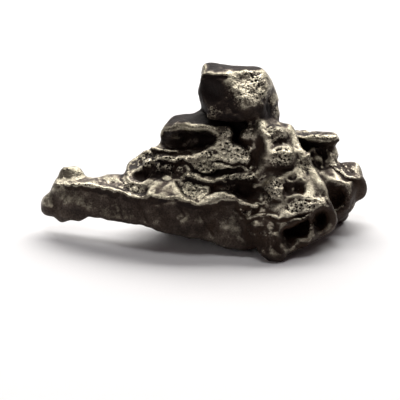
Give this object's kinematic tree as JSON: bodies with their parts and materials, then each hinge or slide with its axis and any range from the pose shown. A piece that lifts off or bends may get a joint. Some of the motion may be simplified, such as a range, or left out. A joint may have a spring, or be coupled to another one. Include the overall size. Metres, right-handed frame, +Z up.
{
  "type": "iron meteorite",
  "caption": "Small burnished iron meteorite: a bar with a knob, a terraced and hollowed hill, and a block standing on top.",
  "frame": {"origin": "middle of the bounding box in plan, on the level that the stone rests on", "axes": "+Z up as it rests, -Y towards the picture's viewer, +X to the viewer's right, away from the bar with the knob"},
  "size_m": [0.0326, 0.0172, 0.0162],
  "materials": {
    "iron": "burnished metal, silvery olive on its raised edges and brown-black in its hollows"
  },
  "bodies": {
    "root": {"meteorite": "iron"}
  },
  "joints": []
}
